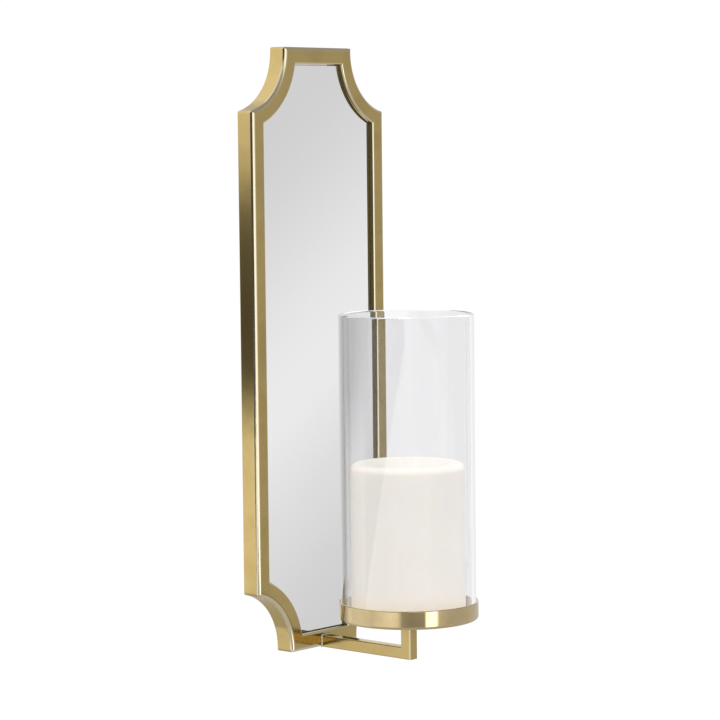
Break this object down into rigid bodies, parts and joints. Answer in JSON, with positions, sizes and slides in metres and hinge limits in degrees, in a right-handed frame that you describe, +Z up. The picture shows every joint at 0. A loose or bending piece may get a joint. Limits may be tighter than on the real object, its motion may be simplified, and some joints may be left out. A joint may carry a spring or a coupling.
{
  "type": "wall sconce candle holder",
  "caption": "Wall sconce with a scalloped mirror in a square-bar brass frame and a bracket arm that holds a round pan, a pillar candle and an open glass cylinder.",
  "frame": {"origin": "middle of the upper keyhole's round entry, in the wall plane", "axes": "+X along the wall to the right as the sconce is seen from the room, +Y into the wall, +Z up; the mirror faces -Y"},
  "size_m": [0.131, 0.1348, 0.406],
  "materials": {
    "frame_brass": "satin, lacquered antique brass plate on steel",
    "back_brass": "dull plate on welded steel strap",
    "pan_brass": "spun and polished brass plate",
    "screw_steel": "zinc-plated steel",
    "mirror_glass": "clear float glass",
    "silvering": "silver coat with a painted back",
    "foam_tape": "white foam tape",
    "panel_board": "hardboard",
    "clear_glass": "clear blown glass",
    "wax": "ivory paraffin wax",
    "wick": "waxed cotton"
  },
  "bodies": {
    "sconce": {"top_rail": "frame_brass", "bottom_rail": "frame_brass", "left_stile": "frame_brass", "right_stile": "frame_brass", "scallop_top_left": "frame_brass", "scallop_top_right": "frame_brass", "scallop_bottom_left": "frame_brass", "scallop_bottom_right": "frame_brass", "mirror_glass": "mirror_glass", "mirror_silvering": "silvering", "mounting_tape_left": "foam_tape", "mounting_tape_right": "foam_tape", "backing_panel": "panel_board", "panel_tab_left_1": "back_brass", "panel_tab_left_2": "back_brass", "panel_tab_left_3": "back_brass", "panel_tab_right_1": "back_brass", "panel_tab_right_2": "back_brass", "panel_tab_right_3": "back_brass", "panel_screws": "screw_steel", "hanger_strap_upper": "back_brass", "hanger_strap_lower": "back_brass", "arm_bar": "frame_brass", "arm_upright": "frame_brass", "arm_weld": "frame_brass", "candle_pan": "pan_brass", "pan_screw": "screw_steel"},
    "glass": {"glass_cylinder": "clear_glass"},
    "candle": {"candle_wax": "wax", "candle_wick": "wick"}
  },
  "joints": [
    {"name": "glass_lift", "type": "slide", "parent": "sconce", "child": "glass", "axis": [0, 0, 1], "range_m": [0, 0.115]},
    {"name": "candle_lift", "type": "slide", "parent": "sconce", "child": "candle", "axis": [0, 0, 1], "range_m": [0, 0.21]}
  ]
}
